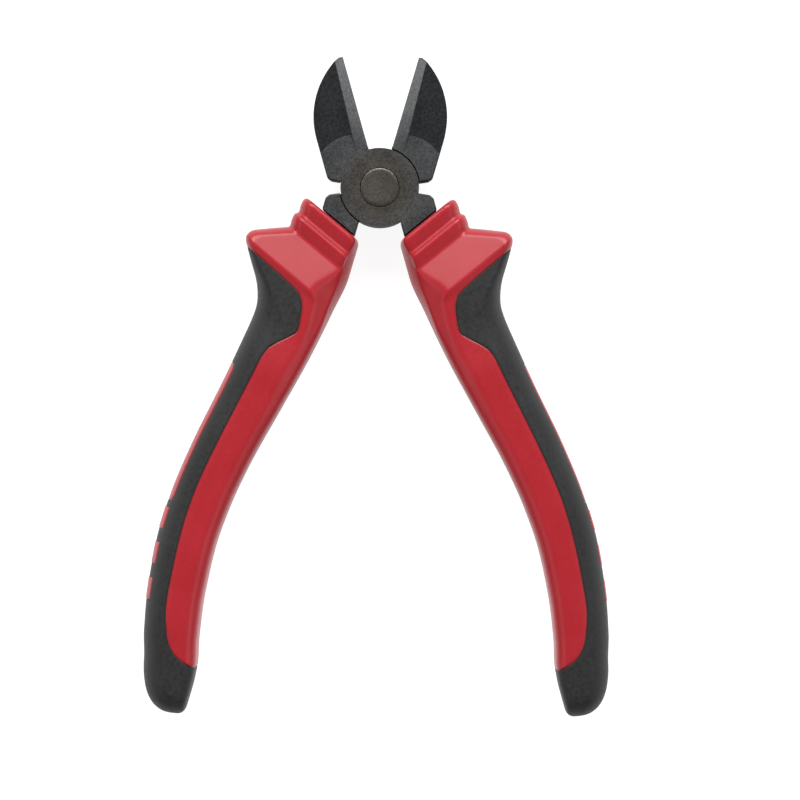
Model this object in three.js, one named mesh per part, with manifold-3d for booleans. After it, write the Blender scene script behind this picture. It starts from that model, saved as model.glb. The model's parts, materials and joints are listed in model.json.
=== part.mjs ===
// Side cutters: two equal forged levers lapped on one rivet, each with a two-material grip on its tang.
// Millimetres and degrees. The tool lies flat on its grips: +Y runs towards the jaws, +X to the right, +Z up.
// The origin is under the middle of the tool as it lies.
// Each half is drawn closed, round the pivot, with the lap plane at z = 0 and the cutting edge on x = 0:
// its jaw is on the left, its grip on the right. The other half is the same half turned over.
import * as THREE from "three";
import { mergeVertices } from "three/addons/utils/BufferGeometryUtils.js";
import Module from "manifold-3d";

// Opening of the tool as it lies, between the two cutting edges
const restOpening = 32;

// Fits
const clearance = 0.3; // between pieces that sit in or turn against each other
const edgeClearance = 0.1; // cutting edge to the middle line when the tool is closed

// Lap joint and rivet
const jointThickness = 10;
const jointRadius = 9;
const rivetRadius = 3;
const headRadius = 4.25;
const headDepth = 1.6;
const headChamfer = 0.3;

// Jaw
const jawReach = 31.4; // pivot to tip
const jawWidth = 11; // cutting edge to the jaw's outer side
const jawSideReach = 14.5; // pivot to where the outer side starts to curve in
const jawTipWidth = 1;
const jawTipThickness = 7.2;
const throatReach = 9.7; // pivot to the lower end of the cutting edge
const bevelWidth = 2.4;
const edgeLand = 0.3; // flat left on the cutting edge
const shoulderAngle = 24.5; // of the stops beside the joint, from the cross direction
const shoulderChamfer = 0.7;
const reliefStep = 0.4; // depth of the forged face below the machined face of the joint
const machinedTop = 13.4; // pivot to the upper end of the machined face
const machinedRadius = 10;
const machinedOffset = 4.6; // cutting edge to the middle of the machined arc

// Neck and tang
const neckInner = 2.5; // middle line to the neck's inner side, closed
const neckOuter = 11.2;
const tangThickness = 6.5;
const tangInset = 2.6; // grip's inner edge to the tang
const tangRootWidth = 7;
const tangEndWidth = 4.8;
const tangLength = 92; // collar to the tang's end, along the grip's inner edge

// Grip: places along its inner edge, back from the pivot
const collarBack = 13.2;
const grooveBack = 21.5; // between the ribs and the thumb guard
const crestBack = 30.2; // top of the thumb guard
const gripLength = 98.3; // thumb guard to tail

// Grip: collar with sawtooth ribs, and thumb guard
const neckLean = 23.5; // of the collar's face and the ribs, from the cross direction
const collarThickness = 13.8;
const collarOut = 11.7; // collar's outer edge, across its leaning face from the pivot
const collarRound = 0.8;
const ribCount = 2;
const ribRise = 0.8;
const ribDrop = 1.1;
const ribStepIn = 0.5; // each rib stands this much further in than the one before it
const guardOut = 16.3; // guard's outer edge, measured as the collar's
const guardNose = 2.2; // length of the guard's outer edge
const guardFall = 1.3; // length of the slope behind the guard's crest
const gripThickness = 18;
const padThickness = 16.6; // behind the guard, where the thumb lies
const tailThickness = 16.6;
const padEnd = 0.1; // shares of the grip's length: end of the thin pad, and the thick belly's start and end
const bellyStart = 0.2;
const bellyEnd = 0.78;

// Grip: outline behind the guard, as [share of the grip's length, size]
const innerEdge = [
  [0, 2.3],
  [0.12, 4.4],
  [0.25, 7.35],
  [0.41, 10.9],
  [0.51, 12.35],
  [0.6, 12.9],
  [0.71, 12.3],
  [0.82, 10.7],
  [0.89, 9.2],
  [0.94, 8.9],
  [1, 8.9],
];
const widths = [
  [0.03, 22.4],
  [0.06, 18.8],
  [0.1, 16.5],
  [0.16, 15.7],
  [0.25, 14.9],
  [0.41, 14.2],
  [0.61, 13.6],
  [0.82, 12.7],
  [0.89, 12.2],
  [1, 11],
];
const leans = [
  [0, neckLean],
  [0.1, 20],
  [0.2, 13],
  [0.3, 7.5],
  [0.46, 2],
  [0.61, -2],
  [0.76, -6],
  [0.9, -9],
  [1, -9],
];

// Grip: section, with the inner bevel, the inner side's draft from its parting line to the bevel,
// and the rounded outer side as [share of the grip's length, size]
const bevels = [
  [0, 6.2],
  [0.06, 4.8],
  [0.17, 3.7],
  [0.27, 2.8],
  [0.5, 2.4],
  [1, 2],
];
const drafts = [
  [0, 1.25],
  [0.06, 0.5],
  [0.2, 0.25],
];
const noses = [
  [0, 2.6],
  [0.08, 6],
  [0.3, 7],
  [1, 6.5],
];
const collarEdge = 1; // middle line to the collar's inner edge
const collarBevel = 1.6;
const grooveBevel = 2.1;
const collarDraft = 0.7;
const grooveDraft = 2;
const collarNose = 3;
const neckSide = 9.2; // height of the inner side between its bevels, at the collar
const crestSide = 11.8;
const gripSide = 14.4;
const noseDepth = 1.3; // height of the outer side's rounding, as a share of its width
const spineFlat = 0.5; // flat left along the middle of the outer side
const draftLimit = 0.9; // most that the draft takes of the inner bevel
const bevelLimit = 0.4; // most that the inner bevel takes of a narrow section's width
const sideLimit = 0.8; // most that the inner side takes of a thin section's height
const tailInnerRound = 1.5;
const tailOuterRound = 7.3; // depth of the long curve on the tail's outer corner
const tailOuterRun = 11.5; // its length
const tailFaceRound = 5;

// Sleeve: its wall, and its seam on the broad faces as [share of the grip's length, share of its width]
const sleeveWall = 2.2;
const sleeveTailWall = 6;
const seam = [
  [0.009, 1.35],
  [0.011, 1],
  [0.016, 0.45],
  [0.024, 0.345],
  [0.045, 0.318],
  [0.085, 0.305],
  [0.105, 0.37],
  [0.14, 0.54],
  [0.165, 0.612],
  [0.22, 0.62],
  [0.5, 0.617],
  [0.72, 0.607],
  [0.81, 0.565],
  [0.855, 0.44],
  [0.878, 0.2],
  [0.888, -0.05],
  [0.893, -0.35],
];

// Inlays of the core that show through the sleeve along its spine
const inlayHeight = 8.4;
const inlayShift = -1; // of the inlays off the parting line
const inlayStart = 21; // from the thumb guard's crest
const inlayLength = 31;
const inlayGap = 1.5; // between the long inlay and the first bar
const barCount = 3;
const barLength = 5;
const barPitch = 7.8;

// Smoothness of curved outlines
const jointSides = 48;
const jawArcSteps = 14;
const noseSteps = 4;
const seamSteps = 64;
const tailSteps = 6;
const gripStep = 5; // between sections of the grip

const wasm = await Module();
wasm.setup();

const { degToRad, lerp, clamp } = THREE.MathUtils;
const halfJoint = jointThickness / 2;
const lapGap = clearance / 2; // from the lap plane to each half
const tipBack = crestBack + gripLength;
const tangBack = collarBack + tangLength;
const past = 1; // how far a cutting shape runs past what it cuts

// Joining and cutting

function solid(geometry) {
  const bare = geometry.clone();
  bare.deleteAttribute("normal");
  bare.deleteAttribute("uv");
  const merged = mergeVertices(bare, 1e-4);
  const mesh = new wasm.Mesh({
    numProp: 3,
    vertProperties: merged.attributes.position.array,
    triVerts: new Uint32Array(merged.index.array),
  });
  return new wasm.Manifold(mesh);
}

function geometryOf(body) {
  const mesh = body.getMesh();
  const geometry = new THREE.BufferGeometry();
  geometry.setAttribute("position", new THREE.BufferAttribute(mesh.vertProperties, 3));
  geometry.setIndex(new THREE.BufferAttribute(mesh.triVerts, 1));
  geometry.computeVertexNormals();
  return geometry;
}

// The same body on the other side of the lap plane.
function otherSide(body) {
  const geometry = geometryOf(body).scale(1, 1, -1);
  const order = geometry.index.array;
  for (let k = 0; k < order.length; k += 3) {
    [order[k], order[k + 1]] = [order[k + 1], order[k]];
  }
  return solid(geometry);
}

// A plan outline given thickness from one height to another.
function prism(outline, bottom, top) {
  const shape = Array.isArray(outline) ? new THREE.Shape(outline) : outline;
  const depth = top - bottom;
  const settings = { depth, bevelEnabled: false, curveSegments: jawArcSteps };
  const geometry = new THREE.ExtrudeGeometry(shape, settings);
  return solid(geometry.translate(0, 0, bottom));
}

// A round post, on the pivot's axis unless it is moved.
function post(radius, bottom, top, x = 0, y = 0) {
  const geometry = new THREE.CylinderGeometry(radius, radius, top - bottom, jointSides);
  return solid(geometry.rotateX(Math.PI / 2).translate(x, y, (bottom + top) / 2));
}

// A closed skin over a row of sections that all have the same number of points.
function skin(sections) {
  const count = sections[0].length;
  const corners = sections.flat().flatMap((p) => [p.x, p.y, p.z]);
  const faces = [];
  for (let row = 0; row + 1 < sections.length; row += 1) {
    for (let k = 0; k < count; k += 1) {
      const a = row * count + k;
      const b = row * count + ((k + 1) % count);
      faces.push(a, a + count, b + count, a, b + count, b);
    }
  }
  const last = (sections.length - 1) * count;
  for (let k = 1; k + 1 < count; k += 1) {
    faces.push(0, k, k + 1);
    faces.push(last, last + k + 1, last + k);
  }
  const geometry = new THREE.BufferGeometry();
  geometry.setAttribute("position", new THREE.Float32BufferAttribute(corners, 3));
  geometry.setIndex(faces);
  return solid(geometry);
}

// Curves through [place, value] pairs

function stretchAt(pairs, place) {
  const last = pairs.length - 2;
  const found = pairs.findIndex((pair, i) => i <= last && place <= pairs[i + 1][0]);
  const i = found < 0 ? last : found;
  const run = pairs[i + 1][0] - pairs[i][0];
  return { i, run, t: clamp((place - pairs[i][0]) / run, 0, 1) };
}

// Straight from pair to pair.
function straight(pairs) {
  return (place) => {
    const { i, t } = stretchAt(pairs, place);
    return lerp(pairs[i][1], pairs[i + 1][1], t);
  };
}

// Smooth, and never swinging past the pairs.
function smooth(pairs) {
  const last = pairs.length - 2;
  const rise = (i) => (pairs[i + 1][1] - pairs[i][1]) / (pairs[i + 1][0] - pairs[i][0]);
  const slopes = pairs.map((pair, i) => {
    const before = rise(Math.max(i - 1, 0));
    const after = rise(Math.min(i, last));
    return before * after <= 0 ? 0 : (2 * before * after) / (before + after);
  });
  return (place) => {
    const { i, run, t } = stretchAt(pairs, place);
    const eased = lerp(pairs[i][1], pairs[i + 1][1], t * t * (3 - 2 * t));
    const leaving = run * slopes[i] * t * (1 - t) * (1 - t);
    const arriving = run * slopes[i + 1] * t * t * (1 - t);
    return eased + leaving - arriving;
  };
}

// Grip: sizes at any place along its inner edge

const backOf = (share) => crestBack + share * gripLength;
const placed = (pairs) => pairs.map(([share, size]) => [backOf(share), size]);

// Sawtooth of the collar: each rib rises steeply on the jaw side and falls away behind.
const ribPitch = (grooveBack - collarBack) / ribCount;
const teeth = [{ back: collarBack, drop: collarRound, stepIn: 0 }];
for (let rib = 0; rib < ribCount; rib += 1) {
  const start = collarBack + rib * ribPitch;
  const stepIn = rib * ribStepIn;
  teeth.push({ back: start + ribRise, drop: 0, stepIn });
  teeth.push({ back: start + ribPitch, drop: ribDrop, stepIn });
}

const innerAt = smooth([[collarBack, collarEdge], [grooveBack, collarEdge], ...placed(innerEdge)]);
const leanAt = smooth(placed(leans));
const bevelAt = smooth([[collarBack, collarBevel], [grooveBack, grooveBevel], ...placed(bevels)]);
const draftAt = smooth([[collarBack, collarDraft], [grooveBack, grooveDraft], ...placed(drafts)]);
const noseAt = smooth([[collarBack, collarNose], [grooveBack, collarNose], ...placed(noses)]);
const sideAt = smooth([
  [grooveBack, neckSide / 2],
  [crestBack, crestSide / 2],
  [backOf(bellyStart), gripSide / 2],
]);

const neckHalfAt = straight([
  ...teeth.map(({ back, drop }) => [back, collarThickness / 2 - drop]),
  [crestBack, gripThickness / 2],
]);
const gripHalfAt = smooth([
  [crestBack, gripThickness / 2],
  [crestBack + guardFall, padThickness / 2],
  [backOf(padEnd), padThickness / 2],
  [backOf(bellyStart), gripThickness / 2],
  [backOf(bellyEnd), gripThickness / 2],
  [tipBack, tailThickness / 2],
]);

// Height that the inner bevel runs up to: it runs straight on past the step behind the guard.
const bevelTopAt = smooth([
  [crestBack, gripThickness / 2],
  [backOf(bellyEnd), gripThickness / 2],
  [tipBack, tailThickness / 2],
]);

// Outer edge of the collar, ribs and guard, across the leaning face from the pivot.
const neckOutAt = straight([
  ...teeth.map(({ back, drop, stepIn }) => [back, collarOut - drop - stepIn]),
  [crestBack - guardNose, guardOut],
  [crestBack, guardOut],
]);

function neckWidthAt(back) {
  const lean = degToRad(neckLean);
  return neckOutAt(back) - innerAt(back) * Math.cos(lean) + back * Math.sin(lean);
}
const gripWidthAt = smooth([[crestBack, neckWidthAt(crestBack)], ...placed(widths)]);

// How far a corner rounded over a run has drawn in, this far before the end.
function drawnIn(depth, run, before) {
  const left = Math.max(1 - before / run, 0);
  return depth * (1 - Math.sqrt(1 - left * left));
}

// Everything that gives the grip's section at one place.
function gripAt(back) {
  const inNeck = back <= crestBack;
  const before = Math.max(tipBack - back, 0);
  const lean = degToRad(leanAt(back));
  const width = inNeck ? neckWidthAt(back) : gripWidthAt(back);
  const half = inNeck ? neckHalfAt(back) : gripHalfAt(back);
  const bevelTop = inNeck ? half : bevelTopAt(back);
  const side = sideAt(back);
  const draft = draftAt(back);
  return {
    corner: new THREE.Vector2(innerAt(back), -back),
    across: new THREE.Vector2(Math.cos(lean), Math.sin(lean)),
    start: drawnIn(tailInnerRound, tailInnerRound, before),
    end: width - drawnIn(tailOuterRound, tailOuterRun, before),
    half: half - drawnIn(tailFaceRound, tailFaceRound, before),
    side,
    bevel: draft + ((bevelAt(back) - draft) * (half - side)) / (bevelTop - side),
    draft,
    nose: noseAt(back),
  };
}

// A point of the plan, this far across the grip from its inner edge.
function acrossGrip(back, distance) {
  const grip = gripAt(back);
  return grip.corner.addScaledVector(grip.across, distance);
}

// One section of the grip, drawn in by a wall all round.
function gripSection(back, wall) {
  const grip = gripAt(back);
  const half = grip.half - wall;
  const start = grip.start + wall;
  const end = grip.end - wall;
  const nose = Math.min(grip.nose, (end - start) / 2);
  const noseDrop = Math.min(half - spineFlat / 2, nose * noseDepth);
  const bevel = Math.min(grip.bevel, (end - start) * bevelLimit);
  const draft = Math.min(grip.draft, bevel * draftLimit);
  const face = [
    [start + draft, Math.min(grip.side, half * sideLimit)],
    [start + bevel, half],
  ];
  for (let k = 0; k <= noseSteps; k += 1) {
    const turn = (k / noseSteps) * (Math.PI / 2);
    face.push([end - nose + nose * Math.sin(turn), half - noseDrop + noseDrop * Math.cos(turn)]);
  }
  const under = face.map(([distance, z]) => [distance, -z]).reverse();
  const parting = [start, 0];
  return [...face, ...under, parting].map(([distance, z]) => {
    const p = grip.corner.clone().addScaledVector(grip.across, distance);
    return new THREE.Vector3(p.x, p.y, z);
  });
}

// Places of the sections between two ends: at each edge of the ribs and guard, evenly behind them,
// and closer at the tail.
function sectionPlaces(from, to) {
  const places = teeth.map(({ back }) => back);
  places.push(crestBack - guardNose, crestBack, crestBack + guardFall);
  const bodyStart = crestBack + guardFall;
  const tailStart = tipBack - tailOuterRun;
  const steps = Math.ceil((tailStart - bodyStart) / gripStep);
  for (let k = 1; k <= steps; k += 1) {
    places.push(lerp(bodyStart, tailStart, k / steps));
  }
  for (let k = 1; k <= tailSteps; k += 1) {
    places.push(tailStart + tailOuterRun * Math.sin((k / tailSteps) * (Math.PI / 2)));
  }
  const apart = 0.2;
  return [from, ...places.filter((back) => back > from + apart && back < to - apart), to];
}

function gripBody(wall, from, to) {
  return skin(sectionPlaces(from, to).map((back) => gripSection(back, wall)));
}

// The sleeve's region in plan, with its seam moved towards the core by a gap.
function sleeveRegion(gap) {
  const line = new THREE.SplineCurve(
    seam.map(([share, width]) => acrossGrip(backOf(share), width * gripAt(backOf(share)).end)),
  );
  const points = [];
  for (let k = 0; k <= seamSteps; k += 1) {
    const p = line.getPoint(k / seamSteps);
    const run = line.getTangent(k / seamSteps);
    points.push(new THREE.Vector2(p.x + run.y * gap, p.y - run.x * gap));
  }
  const below = -tipBack - 2 * gripThickness;
  const outside = 3 * guardOut;
  points.push(new THREE.Vector2(points.at(-1).x, below));
  points.push(new THREE.Vector2(outside, below));
  points.push(new THREE.Vector2(outside, points[0].y));
  return points;
}

// One opening of the sleeve's spine, between two places, made larger or smaller all round.
function spineOpening(from, to, grow) {
  const depth = sleeveWall + clearance + past;
  const steps = Math.max(2, Math.round((to - from) / gripStep));
  const outer = [];
  const inner = [];
  for (let k = 0; k <= steps; k += 1) {
    const back = lerp(from - grow, to + grow, k / steps);
    const end = gripAt(back).end;
    outer.push(acrossGrip(back, end + past));
    inner.unshift(acrossGrip(back, end - depth));
  }
  const half = inlayHeight / 2 + grow;
  return prism([...outer, ...inner], inlayShift - half, inlayShift + half);
}

function spineOpenings(grow) {
  const longEnd = crestBack + inlayStart + inlayLength;
  const openings = [spineOpening(crestBack + inlayStart, longEnd, grow)];
  for (let bar = 0; bar < barCount; bar += 1) {
    const from = longEnd + inlayGap + bar * barPitch;
    openings.push(spineOpening(from, from + barLength, grow));
  }
  return openings.reduce((all, one) => all.add(one));
}

// The tang in plan, made larger all round by a gap, from a place before the collar.
function tangPlan(from, gap) {
  const end = tangBack + gap;
  const steps = Math.ceil((end - from) / (2 * gripStep));
  const inner = [];
  const outer = [];
  for (let k = 0; k <= steps; k += 1) {
    const back = lerp(from, end, k / steps);
    const share = clamp((back - collarBack) / tangLength, 0, 1);
    inner.push(acrossGrip(back, tangInset - gap));
    outer.unshift(acrossGrip(back, tangInset + lerp(tangRootWidth, tangEndWidth, share) + gap));
  }
  return [...inner, ...outer];
}

function tang(from, gap) {
  const half = tangThickness / 2 + gap;
  return prism(tangPlan(from, gap), -half, half);
}

// Pieces

function jawPlan() {
  const shoulder = degToRad(shoulderAngle);
  const run = jawWidth - jawTipWidth;
  const rise = jawReach - jawSideReach;
  const radius = (run * run + rise * rise) / (2 * run);
  const inside = jointRadius / 2;
  const corner = jawWidth / Math.cos(shoulder);
  const cut = corner - shoulderChamfer;
  const shape = new THREE.Shape();
  shape.moveTo(-edgeClearance, 0);
  shape.lineTo(-edgeClearance, jawReach);
  shape.lineTo(-jawTipWidth, jawReach);
  shape.absarc(radius - jawWidth, jawSideReach, radius, Math.PI - Math.asin(rise / radius), Math.PI, false);
  shape.lineTo(-jawWidth, corner * Math.sin(shoulder) + shoulderChamfer);
  shape.lineTo(-cut * Math.cos(shoulder), cut * Math.sin(shoulder));
  shape.lineTo(-inside * Math.cos(shoulder), inside * Math.sin(shoulder));
  return shape;
}

// The collar's face in plan, with the gap that the neck keeps to it.
function collarSeat(x) {
  return -collarBack + (x - collarEdge) * Math.tan(degToRad(neckLean)) + clearance;
}

function neckPlan() {
  const shoulder = degToRad(shoulderAngle);
  const inside = jointRadius / 2;
  const corner = neckOuter / Math.cos(shoulder);
  const cut = corner - shoulderChamfer;
  return [
    new THREE.Vector2(neckInner, -inside),
    new THREE.Vector2(neckInner, collarSeat(neckInner)),
    new THREE.Vector2(neckOuter, collarSeat(neckOuter)),
    new THREE.Vector2(neckOuter, -corner * Math.sin(shoulder) - shoulderChamfer),
    new THREE.Vector2(cut * Math.cos(shoulder), -cut * Math.sin(shoulder)),
    new THREE.Vector2(inside * Math.cos(shoulder), -inside * Math.sin(shoulder)),
  ];
}

// What is taken off the jaw's face above the machined arc: the forged face falls away towards the tip.
function jawRelief() {
  const top = jawReach + past;
  const fall = (halfJoint - reliefStep - jawTipThickness / 2) / (jawReach - machinedTop);
  const faceAt = (y) => jawTipThickness / 2 + (jawReach - y) * fall;
  const low = machinedTop - machinedRadius;
  const side = new THREE.Shape([
    new THREE.Vector2(low, faceAt(low)),
    new THREE.Vector2(top, faceAt(top)),
    new THREE.Vector2(top, halfJoint + past),
    new THREE.Vector2(low, halfJoint + past),
  ]);
  const geometry = new THREE.ExtrudeGeometry(side, { depth: jawWidth + past, bevelEnabled: false });
  const turn = new THREE.Matrix4().makeBasis(
    new THREE.Vector3(0, 1, 0),
    new THREE.Vector3(0, 0, 1),
    new THREE.Vector3(1, 0, 0),
  );
  const wedge = solid(geometry.applyMatrix4(turn).translate(-jawWidth - past, 0, 0));
  return wedge.subtract(post(machinedRadius, 0, halfJoint + 2 * past, -machinedOffset, low));
}

// What is ground off one face along the cutting edge.
function edgeBevel() {
  const land = edgeLand / 2;
  const face = (halfJoint - reliefStep + jawTipThickness / 2) / 2;
  const top = halfJoint + past;
  const spread = (bevelWidth * (top - land)) / (face - land);
  const profile = new THREE.Shape([
    new THREE.Vector2(-edgeClearance, land),
    new THREE.Vector2(past, land),
    new THREE.Vector2(past, top),
    new THREE.Vector2(-edgeClearance - spread, top),
  ]);
  const depth = jawReach + past - throatReach;
  const geometry = new THREE.ExtrudeGeometry(profile, { depth, bevelEnabled: false });
  return solid(geometry.rotateX(Math.PI / 2).translate(0, jawReach + past, 0));
}

function lever() {
  const facing = prism(jawPlan(), -halfJoint, halfJoint).add(prism(neckPlan(), -halfJoint, halfJoint));
  const cleared = facing.subtract(post(jointRadius + clearance, -halfJoint - past, lapGap));
  const joined = cleared.add(post(jointRadius, lapGap, halfJoint)).add(tang(collarBack - tangInset, 0));
  const relief = jawRelief();
  const bevel = edgeBevel();
  const ground = joined
    .subtract(relief)
    .subtract(otherSide(relief))
    .subtract(bevel)
    .subtract(otherSide(bevel));
  const shankHole = post(rivetRadius + clearance, -past, halfJoint + past);
  const headHole = post(headRadius + clearance, halfJoint - headDepth - clearance, halfJoint + past);
  return geometryOf(ground.subtract(shankHole).subtract(headHole));
}

function rivet() {
  const under = halfJoint - headDepth;
  const half = [
    [rivetRadius, under],
    [headRadius, under],
    [headRadius, halfJoint - headChamfer],
    [headRadius - headChamfer, halfJoint],
    [0, halfJoint],
  ];
  const lower = half.map(([radius, height]) => [radius, -height]).reverse();
  const profile = [...lower, ...half].map(([radius, height]) => new THREE.Vector2(radius, height));
  return new THREE.LatheGeometry(profile, jointSides).rotateX(Math.PI / 2);
}

const wholeGrip = gripBody(0, collarBack, tipBack);
const coreStart = crestBack - guardNose;
const tallest = gripThickness;

function gripSleeve() {
  const cover = wholeGrip.intersect(prism(sleeveRegion(0), -tallest, tallest));
  const inside = gripBody(sleeveWall, coreStart, tipBack - sleeveTailWall);
  return geometryOf(cover.subtract(inside).subtract(spineOpenings(0)));
}

function gripCore() {
  const bare = wholeGrip.subtract(prism(sleeveRegion(clearance), -tallest, tallest));
  const inside = gripBody(sleeveWall + clearance, coreStart, tipBack - sleeveTailWall - clearance);
  const inlays = wholeGrip.intersect(spineOpenings(-clearance));
  const channel = tang(collarBack - tangInset - past, clearance);
  return geometryOf(bare.add(inside).add(inlays).subtract(channel));
}

// Materials

const forgedSteel = new THREE.MeshStandardMaterial({ color: 0x46464a, roughness: 0.45, metalness: 0.9 });
const rivetSteel = new THREE.MeshStandardMaterial({ color: 0x4c4740, roughness: 0.4, metalness: 0.9 });
const redPlastic = new THREE.MeshStandardMaterial({ color: 0xb2353b, roughness: 0.4, metalness: 0 });
const blackRubber = new THREE.MeshStandardMaterial({ color: 0x37373a, roughness: 0.75, metalness: 0 });

// Assembly

function piece(name, geometry, material) {
  const mesh = new THREE.Mesh(geometry, material);
  mesh.name = name;
  return mesh;
}

const leverShape = lever();
const coreShape = gripCore();
const sleeveShape = gripSleeve();

function half(leverName, side) {
  const group = new THREE.Group();
  group.add(piece(leverName, leverShape, forgedSteel));
  group.add(piece(`${side}_grip_core`, coreShape, redPlastic));
  group.add(piece(`${side}_grip_sleeve`, sleeveShape, blackRubber));
  return group;
}

const frontHalf = half("front_lever", "right");
frontHalf.add(piece("pivot_rivet", rivet(), rivetSteel));
frontHalf.rotation.z = degToRad(restOpening / 2);

const rearHalf = half("rear_lever", "left");
rearHalf.rotation.set(0, Math.PI, degToRad(-restOpening / 2), "ZYX");

const tool = new THREE.Group();
tool.add(frontHalf, rearHalf);
const box = new THREE.Box3().setFromObject(tool, true);
tool.position.set(-(box.min.x + box.max.x) / 2, -(box.min.y + box.max.y) / 2, -box.min.z);

const sideCutters = new THREE.Group();
sideCutters.add(tool);

export default sideCutters;
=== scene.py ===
# %% [markdown]
# # Side cutters
# Side cutters snip wire and cable. Two forged levers cross at a rivet; each has a jaw at one end and a
# plastic grip on the tang at the other. The grips are moulded in two shots: a hard red core, then a soft
# black sleeve over its back. We start from the measured part. It gives every piece its place, and we draw
# the visible surfaces round it.

import json
import math
from functools import partial

import bmesh
import bpy
import numpy as np
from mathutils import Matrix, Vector


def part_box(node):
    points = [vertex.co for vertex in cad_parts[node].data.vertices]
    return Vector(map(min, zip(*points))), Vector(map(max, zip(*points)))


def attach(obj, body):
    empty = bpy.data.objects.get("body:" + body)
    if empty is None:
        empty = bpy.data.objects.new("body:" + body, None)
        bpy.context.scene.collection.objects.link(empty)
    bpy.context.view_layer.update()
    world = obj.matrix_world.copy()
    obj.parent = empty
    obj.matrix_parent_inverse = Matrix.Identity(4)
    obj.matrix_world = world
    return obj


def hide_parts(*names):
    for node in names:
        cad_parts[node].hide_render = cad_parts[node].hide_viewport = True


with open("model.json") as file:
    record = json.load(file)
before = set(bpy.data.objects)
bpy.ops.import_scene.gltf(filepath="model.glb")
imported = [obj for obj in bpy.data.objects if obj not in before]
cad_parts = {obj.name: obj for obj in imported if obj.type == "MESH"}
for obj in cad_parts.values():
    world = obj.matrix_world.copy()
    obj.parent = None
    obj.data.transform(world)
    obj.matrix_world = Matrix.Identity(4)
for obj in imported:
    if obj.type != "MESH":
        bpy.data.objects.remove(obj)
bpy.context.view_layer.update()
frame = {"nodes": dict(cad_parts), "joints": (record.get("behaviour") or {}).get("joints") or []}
hinge = frame["joints"][0]
MM = 0.001
pivot = np.array(hinge["pos_m"]) / MM
rest_turn = math.radians(hinge["range_deg"][1]) / 2
print("pivot in mm:", pivot.round(2), "each half is turned by", round(math.degrees(rest_turn), 1), "degrees")

# %% [markdown]
# The two halves are the same shape. We draw one half closed, in millimetres round the pivot, with its grip
# on the right. The other half is the same drawing turned over, so every piece is drawn once and placed
# twice. Modelling each side by itself would mean making every change twice.

# %% Place a half
SIDES = {"right": 1, "left": -1}
BODIES = {"right": "front_half", "left": "rear_half"}


def turned(x, y, angle):
    """Plan points turned about the pivot."""
    return x * math.cos(angle) - y * math.sin(angle), x * math.sin(angle) + y * math.cos(angle)


def placed(points, side):
    """Points of the closed half, moved to where that side's half lies, in metres."""
    over = SIDES[side]
    x, y, z = np.asarray(points).T
    across, along = turned(over * x, y, over * rest_turn)
    return (np.column_stack((across, along, over * z)) + pivot) * MM


def drawn(points, side):
    """The way back: points of the finished tool, in metres, as points of the closed half."""
    over = SIDES[side]
    x, y, z = (np.asarray(points) / MM - pivot).T
    across, along = turned(x, y, -over * rest_turn)
    return np.column_stack((over * across, along, over * z))


def new_object(name, data):
    made = bpy.data.objects.new(name, data)
    bpy.context.scene.collection.objects.link(made)
    return made


def new_piece(name, mesh, side, node=None):
    """A plain mesh as a piece that moves with its half and, where a node is named, hides that node."""
    piece = new_object(name, mesh)
    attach(piece, BODIES[side])
    if node:
        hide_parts(node)
    return piece


for side in SIDES:
    print(side, "half: 100 mm behind the pivot lies at", placed([(0, -100, 0)], side)[0].round(4), "m")

# %% [markdown]
# A grip changes along its length, so we write each of its sizes as a curve through a few chosen places. One
# kind of curve is straight from place to place, for edges; the other is smooth and never swings past its
# places. A moulded edge is never quite sharp, so a curve can be softened by averaging it over a short reach.
# Blender's curves could hold such shapes, but a function is easier to ask for its value at any place.

# %% Curves through chosen places
soft_samples = np.linspace(-1, 1, 9)


def straight(pairs):
    places, values = zip(*pairs)
    return lambda at: np.interp(at, places, values)


def smooth(pairs):
    """A curve that bends gently and never swings past its places."""
    places, values = (np.array(column, float) for column in zip(*pairs))
    rise = np.diff(values) / np.diff(places)
    before = np.append(rise[0], rise)
    after = np.append(rise, rise[-1])
    turning = before * after <= 0
    slopes = np.where(turning, 0, 2 * before * after / np.where(turning, 1, before + after))

    def curve(at):
        held = np.clip(at, places[0], places[-1])
        i = np.clip(np.searchsorted(places, held) - 1, 0, len(rise) - 1)
        run = places[i + 1] - places[i]
        t = (held - places[i]) / run
        eased = values[i] + (values[i + 1] - values[i]) * t * t * (3 - 2 * t)
        return eased + run * t * (1 - t) * (slopes[i] * (1 - t) - slopes[i + 1] * t)

    return curve


def softened(curve, reach):
    return lambda at: np.mean([curve(at + share * reach(at)) for share in soft_samples], axis=0)


def drawn_in(depth, run, before):
    """How far a corner rounded over a run has drawn in, this far before the end."""
    left = np.clip(1 - before / run, 0, 1)
    return depth * (1 - np.sqrt(1 - left * left))


print("a 1 mm corner is drawn in by", drawn_in(1, 1, 0.5).round(3), "mm halfway")

# %% [markdown]
# The grip's sizes in millimetres. Places are measured straight back from the pivot, at the inner edge. From
# the jaws backwards come a collar with two sawtooth ribs, a groove, the slope of the thumb guard up to its
# crest, a thin pad for the thumb, a thick belly, and a rounded tail. The tool lies on its bellies, so the
# pivot's height gives their thickness.

# %% Sizes of the grip
collar_back = 13.2
groove_back = 21.5
crest_back = 30.2
grip_length = 98.3
tip_back = crest_back + grip_length

neck_lean = 23.5  # degrees, of the collar's face and the ribs
collar_edge = 1.0
collar_half = 6.9
collar_out = 11.7
rib_count = 2
rib_pitch = (groove_back - collar_back) / rib_count
rib_rise = 0.8
rib_drop = 1.1
rib_bulge = 0.32  # share of the drop halfway down a rib's back
rib_step_in = 0.5
guard_out = 16.3
guard_nose = 2.2
guard_fall = 1.3
belly_half = pivot[2]
pad_half = 8.3


def back_of(share):
    return crest_back + share * grip_length


pad_end = back_of(0.1)
belly_start = back_of(0.2)
belly_end = back_of(0.78)
print("grip from", collar_back, "to", tip_back, "mm behind the pivot,", round(2 * belly_half, 2), "mm thick")

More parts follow.
